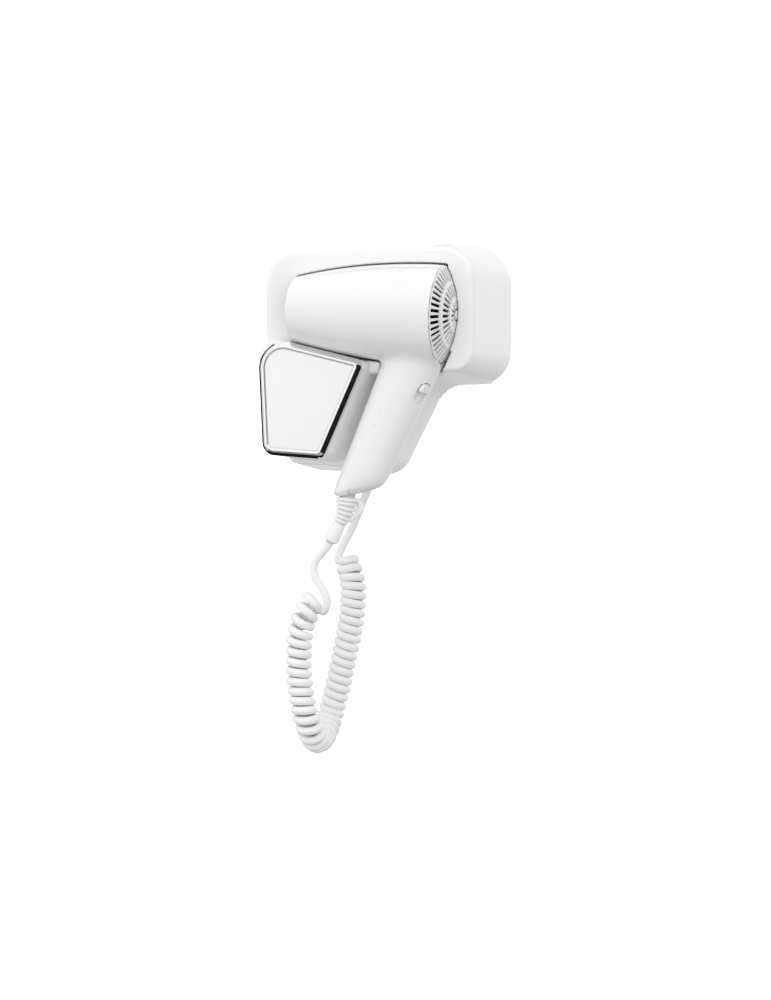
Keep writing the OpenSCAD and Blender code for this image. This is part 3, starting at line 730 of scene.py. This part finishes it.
def housing_shell(p):
    solid = cut(housing_outside(p), cradle(p), 0.8)
    shell = cut(solid, solid + WALL, 0.4)
    shell = cut(shell, button_hole(p), 0.4)
    gland = np.hypot(p[:, 0] - GLAND_AT[0], p[:, 1] - GLAND_AT[1]) - GLAND_R
    gland = np.maximum(gland, p[:, 2] + 100)
    return np.maximum(np.maximum(shell, -gland), p[:, 1])


housing = add_surface("housing", housing_shell, (-93, -90, -126), (93, 2, 57), 1.0,
                      white_housing, "housing")
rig.replaces(housing, "housing_shell")
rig.slot(housing, "housing_white")


def button(p):
    """The top button, with a flange that keeps it in and a stem."""
    x, y, z = p[:, 0] - BUTTON_AT[0], p[:, 1] - BUTTON_AT[1], p[:, 2]
    cap = soft_box(x, y, z - 46, (6.4, 5.0, BUTTON_TOP - 46), 0.9)
    flange = soft_box(x, y, z - 45.1, (7.5, 6.5, 1.0), 0.3)
    stem = soft_box(x, y, z - 40, (2, 2, 6), 0.3)
    return np.minimum(np.minimum(np.maximum(cap, 45 - z), flange), stem)


power_button = add_surface("power_button_cap", button, (39, -46, 32), (57, -30, 54), 0.5,
                           white_housing, "button")
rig.replaces(power_button, "power_button")
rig.slot(power_button, "housing_white")


def rounded_outline(points, radii, grow, steps=14):
    """A clockwise polygon [x, z] moved outwards by grow, its corners rounded."""
    p = np.asarray(points, float)
    n = len(p)
    along = np.roll(p, -1, axis=0) - p
    along /= np.linalg.norm(along, axis=1)[:, None]
    out = np.stack([-along[:, 1], along[:, 0]], axis=1)
    before = np.roll(out, 1, axis=0)
    p = p + (before + out) * grow / (1 + (before * out).sum(axis=1))[:, None]
    made = []
    for i in range(n):
        to_last, to_next = -along[i - 1], along[i]
        half = math.acos(np.clip(to_last @ to_next, -1, 1)) / 2
        r = max(radii[i] + grow, 0.3)
        middle = (to_last + to_next) / np.linalg.norm(to_last + to_next)
        centre = p[i] + middle * r / math.sin(half)
        a = p[i] + to_last * r / math.tan(half) - centre
        b = p[i] + to_next * r / math.tan(half) - centre
        a0, a1 = math.atan2(a[1], a[0]), math.atan2(b[1], b[0])
        turn = (a1 - a0 + 3 * math.pi) % (2 * math.pi) - math.pi
        for k in range(steps + 1):
            angle = a0 + turn * k / steps
            made.append(centre + r * np.array([math.cos(angle), math.sin(angle)]))
    return np.array(made)


BLOCK_RADII = [17, 3, 4, 7]
FRAME_W = 2.4


def outline_rings(profile):
    """Rings of the block's outline, one for each (grow, y) of the profile."""
    rings = []
    for grow, y in profile:
        ring = rounded_outline(BLOCK, BLOCK_RADII, grow)
        rings.append(np.stack([ring[:, 0], np.full(len(ring), y), ring[:, 1]], axis=1))
    return rings


def quarter(x0, y0, x1, y1, steps=5):
    """A quarter turn from (x0, y0) to (x1, y1), first going along y."""
    return [(x0 + (x1 - x0) * (1 - math.cos(t)), y0 + (y1 - y0) * math.sin(t))
            for t in np.linspace(0, math.pi / 2, steps)]


FRONT = BLOCK_Y - 4.0
frame_profile = [(3.4, BLOCK_Y + 0.8), (3.4, BLOCK_Y - 0.7), (3.3, BLOCK_Y - 0.9),
                 (0.2, FRONT + 0.45), *quarter(0.1, FRONT + 0.4, -0.6, FRONT, 4),
                 *quarter(-FRAME_W + 0.6, FRONT, -FRAME_W, FRONT + 0.6),
                 (-FRAME_W, BLOCK_Y + 0.8), (3.4, BLOCK_Y + 0.8)]
rings = outline_rings(frame_profile)
faces = grid_faces(len(rings), len(rings[0]))
trim = add_mesh("trim_ring", np.vstack(rings), faces, chrome, "housing")
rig.replaces(trim, "trim_frame")
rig.slot(trim, "chrome")

PANEL_EDGE = -FRAME_W - 0.1
panel_profile = [(PANEL_EDGE, BLOCK_Y), (PANEL_EDGE, FRONT + 1.3),
                 *quarter(PANEL_EDGE, FRONT + 1.0, PANEL_EDGE - 0.6, FRONT + 0.6)]
rings = outline_rings(panel_profile)
count = len(rings[0])
faces = grid_faces(len(rings), count)
faces.append([(len(rings) - 1) * count + k for k in range(count)])
faces.append(list(range(count))[::-1])
panel = add_mesh("front_panel", np.vstack(rings), faces, white_housing, "housing")
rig.replaces(panel, "trim_panel")
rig.slot(panel, "housing_white")

# ---------- the dryer ----------


def switch_pocket(p):
    """The sunk slot that the speed knob slides in."""
    x, y, z = in_switch(p)
    slot = np.hypot(x, np.maximum(np.abs(y) - 3.35, 0)) - 5.2
    return common(slot, -4.2 - z, 0.5)


def dryer_wall(p):
    """Both shells together, hollow, with the switch's pocket and the strain relief's hole."""
    inside = np.minimum(barrel_wall(p, SHELL_T), handle(p, SHELL_T))
    x, y, z = in_switch(p)
    backing = soft_box(x, y, z + 3.0, (7.0, 10.5, 3.0), 1.0)
    inside = cut(inside, backing, 0.5)
    shell = cut(cut(dryer_outside(p), inside, 0.3), switch_pocket(p), 0.25)
    relief = p - RELIEF_TOP
    t, r = relief @ RELIEF_DOWN, np.hypot(relief @ RELIEF_SIDE, relief[:, 1])
    return np.maximum(shell, -np.maximum(r - 6.2, -12 - t))


def front_half(p):
    return common(dryer_wall(p), seam_side(p) + SEAM_GAP, 0)


def rear_half(p):
    return common(dryer_wall(p), SEAM_GAP - seam_side(p), 0)


front = add_surface("dryer_front", front_half, (-60, -117, -142), (46, -39, 38), 0.9,
                    white_gloss, "dryer", dryer_wall)
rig.replaces(front, "front_shell")
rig.slot(front, "dryer_white")
rear = add_surface("dryer_rear", rear_half, (-14, -117, -142), (66, -39, 35), 0.9,
                   white_gloss, "dryer", dryer_wall)
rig.replaces(rear, "rear_shell")
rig.slot(rear, "dryer_white")

SLOTS = [(45, 25.0, 34.4, 2.3), (30, 13.3, 22.5, 2.1), (15, 3.4, 10.4, 1.6)]


def grille(p):
    """The rear grille: a thin dome with three rings of slots, and the rim that holds it."""
    d = p - RIM
    s, up, y = d @ ALONG_BARREL, d @ ABOVE_BARREL, d[:, 1]
    r, angle = np.hypot(up, y), np.arctan2(y, up)
    ball = (barrel_radius(0) ** 2 + DOME_H ** 2) / (2 * DOME_H)
    shape = cut(dome(p), np.hypot(s - (ball - DOME_H), r) - ball + 1.9, 0.3)
    for count, r0, r1, wide in SLOTS:
        sector = 2 * math.pi / count
        a = (angle + sector / 2) % sector - sector / 2
        u, v = r * np.cos(a) - (r0 + r1) / 2, r * np.sin(a)
        length = (r1 - r0) / 2
        qx, qy = np.abs(u) - length + 0.6, np.abs(v) - wide / 2 + 0.6
        slot = np.hypot(np.maximum(qx, 0), np.maximum(qy, 0)) + np.minimum(np.maximum(qx, qy), 0) - 0.6
        shape = cut(shape, slot, 0.2)
    rim = np.maximum(np.abs(r - barrel_radius(0) + SHELL_T + 0.8) - 0.7, np.abs(s - 3.3) - 3.6)
    return np.minimum(shape, rim)


dome_grille = add_surface("dome_grille", grille, (50, -117, -45), (74, -39, 36), 0.55,
                          white_gloss, "dryer")
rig.replaces(dome_grille, "rear_grille")
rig.slot(dome_grille, "dryer_white")


def knob(p):
    """The speed knob at the slot's upper end."""
    x, y, z = in_switch(p)
    outline = common(np.hypot(x, y + 3.25) - 4.8, y + 0.9, 0.6)
    return common(outline, np.abs(z + 0.9) - 1.7, 0.8)


switch = add_surface("speed_knob", knob, SWITCH_CENTRE - 14, SWITCH_CENTRE + 14, 0.4,
                     white_gloss, "knob")
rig.replaces(switch, "switch_knob")
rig.slot(switch, "dryer_white")


def lathe(name, profile, place, made_of, body, sides=64):
    """A solid of revolution about a frame's z. profile is a closed list of (radius, z)."""
    turn = np.linspace(0, 2 * math.pi, sides, endpoint=False)
    rings = [np.stack([r * np.cos(turn), r * np.sin(turn), np.full(sides, z)], axis=1)
             for r, z in [*profile, profile[0]]]
    return add_mesh(name, place(np.vstack(rings)), grid_faces(len(rings), sides), made_of, body)


def rib(r, z, deep, half):
    """One rounded rib of the strain relief, with the groove after it."""
    return [(r - deep, z - half - 0.5), (r - 0.5, z - half), (r, z - half + 0.5),
            (r, z + half - 0.5), (r - 0.5, z + half), (r - deep, z + half + 0.4)]


BORE_R = CORD_R + 0.05  # the cord's hole in the strain relief and the sleeve
relief_profile = [(BORE_R, -6), (6, -6), (6, 0.4), (8.8, 0.5), (9.3, 0.9), (9.4, 1.5),
                  (9.4, 2.4), (9.1, 2.9), (8.4, 3.1)]
for i in range(5):
    relief_profile += rib(8.9 - 0.85 * i, 4.9 + 3.5 * i, 1.9, 1.1)
relief_profile += [(4.6, 20.5), (BORE_R, 20.5)]
relief = lathe("strain_relief_boot", relief_profile, from_relief, white_satin, "dryer")
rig.replaces(relief, "strain_relief")
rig.slot(relief, "cord_white")

sleeve_profile = [(BORE_R, 20.6), (4.6, 20.6), (4.9, 21), (6.2, 34.2), (6.3, 34.9), (6.0, 35.6),
                  (4.3, 36.9), (BORE_R, 37.1)]
sleeve = lathe("cord_sleeve_tube", sleeve_profile, from_relief, white_satin, "dryer")
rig.replaces(sleeve, "cord_sleeve")
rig.slot(sleeve, "cord_white")

loop_path = spline([[-10.5, -78, -143.2], [-7.1, -78, -143.4], [-4.4, -78, -146.7], [-5.5, -78, -150.4],
                    [-9.2, -78, -153.9], [-14, -78, -157.2], [-17, -78, -158.8]], 0.6)
loop = add_mesh("side_loop", *tube(loop_path, 1.6), white_satin, "dryer")
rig.replaces(loop, "hanging_loop")
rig.slot(loop, "cord_white")

# ---------- the CAD nodes that keep their shape ----------

slots = {row["node"]: row["material_slot"] for row in frame["record"]["subparts"]}
for name, node in frame["nodes"].items():
    node.data.materials.clear()
    node.data.materials.append(NODE_MATERIALS[slots[name]])

# ---------- backdrop and light ----------

WORLD_BACK, WORLD_FRONT = 0.92, 1.24  # the sky's strength away from and towards the bright side
WORLD_LOW = 0.3  # its share straight down
BRIGHT_SIDE = (-0.15, -0.98, 0.1)
BRIGHT = (1, 1, 1, 1)


def card(name, centre, across, up, made_of):
    """A flat card about centre; across and up are half its sides. All in metres."""
    c, a, u = Vector(centre), Vector(across), Vector(up)
    corners = [(c + i * a + j * u) / MM for i, j in ((-1, -1), (1, -1), (1, 1), (-1, 1))]
    made = add_mesh(name, corners, [[0, 1, 2, 3]], made_of, None, smooth=False)
    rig.stage(made)
    return made


paper = material("white paper", (1, 1, 1), 1.0)
paper.node_tree.nodes["Principled BSDF"].inputs["Emission Color"].default_value = BRIGHT
paper.node_tree.nodes["Principled BSDF"].inputs["Emission Strength"].default_value = 1.0

# a plain white room round the object and the camera, which lets all light through
ROOM = 4.0
for name, centre, across, up in (
        ("wall_back", (0, ROOM, 0), (ROOM, 0, 0), (0, 0, ROOM)),
        ("wall_front", (0, -ROOM, 0), (ROOM, 0, 0), (0, 0, ROOM)),
        ("wall_left", (-ROOM, 0, 0), (0, ROOM, 0), (0, 0, ROOM)),
        ("wall_right", (ROOM, 0, 0), (0, ROOM, 0), (0, 0, ROOM)),
        ("floor", (0, 0, -ROOM), (ROOM, 0, 0), (0, ROOM, 0)),
        ("ceiling", (0, 0, ROOM), (ROOM, 0, 0), (0, ROOM, 0))):
    made = card(name, centre, across, up, paper)
    made.visible_diffuse = made.visible_glossy = made.visible_shadow = False

# black cards that only reflections show, for the chrome's dark edges
black_card = material("black card", (0, 0, 0), 1.0)
for name, centre, across, up in (
        ("card_right", (1.0, -0.2, -0.3), (0, 1.1, 0), (0, 0, 1.0)),
        ("card_left", (-1.0, 0.45, 0), (0, 0.35, 0), (0, 0, 1.0)),
        ("card_low", (-0.3, 0.32, -1.0), (1.0, 0, 0), (0, 0.64, 0)),
        ("card_high", (-0.3, 1.0, 1.0), (1.0, 0, 0), (0, 0.4, 0))):
    made = card(name, centre, across, up, black_card)
    made.visible_camera = made.visible_diffuse = made.visible_shadow = False

world = bpy.data.worlds.new("studio")
scene.world = world
world.use_nodes = True
tree = world.node_tree
place = tree.nodes.new("ShaderNodeTexCoord")


def sky_part(direction, ends, strengths):
    """A strength that changes with how far the view lies along a direction."""
    towards = tree.nodes.new("ShaderNodeVectorMath")
    towards.operation = "DOT_PRODUCT"
    towards.inputs[1].default_value = direction
    ramp = tree.nodes.new("ShaderNodeMapRange")
    ramp.inputs["From Min"].default_value, ramp.inputs["From Max"].default_value = ends
    ramp.inputs["To Min"].default_value, ramp.inputs["To Max"].default_value = strengths
    tree.links.new(place.outputs["Generated"], towards.inputs[0])
    tree.links.new(towards.outputs["Value"], ramp.inputs["Value"])
    return ramp.outputs["Result"]


both = tree.nodes.new("ShaderNodeMath")
both.operation = "MULTIPLY"
tree.links.new(sky_part(BRIGHT_SIDE, (-1, 1), (WORLD_BACK, WORLD_FRONT)), both.inputs[0])
tree.links.new(sky_part((0, 0, 1), (-1, 0.1), (WORLD_LOW, 1)), both.inputs[1])
tree.links.new(both.outputs["Value"], tree.nodes["Background"].inputs["Strength"])
tree.nodes["Background"].inputs["Color"].default_value = BRIGHT
scene.view_settings.view_transform = "Standard"


def area_light(name, place, aim, width, height, power):
    """A soft lamp at place that faces aim."""
    lamp = bpy.data.lights.new(name, "AREA")
    lamp.shape = "RECTANGLE"
    lamp.size, lamp.size_y, lamp.energy = width, height, power
    made = bpy.data.objects.new(name, lamp)
    scene.collection.objects.link(made)
    made.location = place
    made.rotation_mode = "QUATERNION"
    made.rotation_quaternion = (Vector(aim) - Vector(place)).to_track_quat("-Z", "Y")
    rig.stage(made)


area_light("key", (-0.7, -1.5, 1.2), (0, 0, -0.05), 1.2, 1.2, 0.8)

write_size("visual")
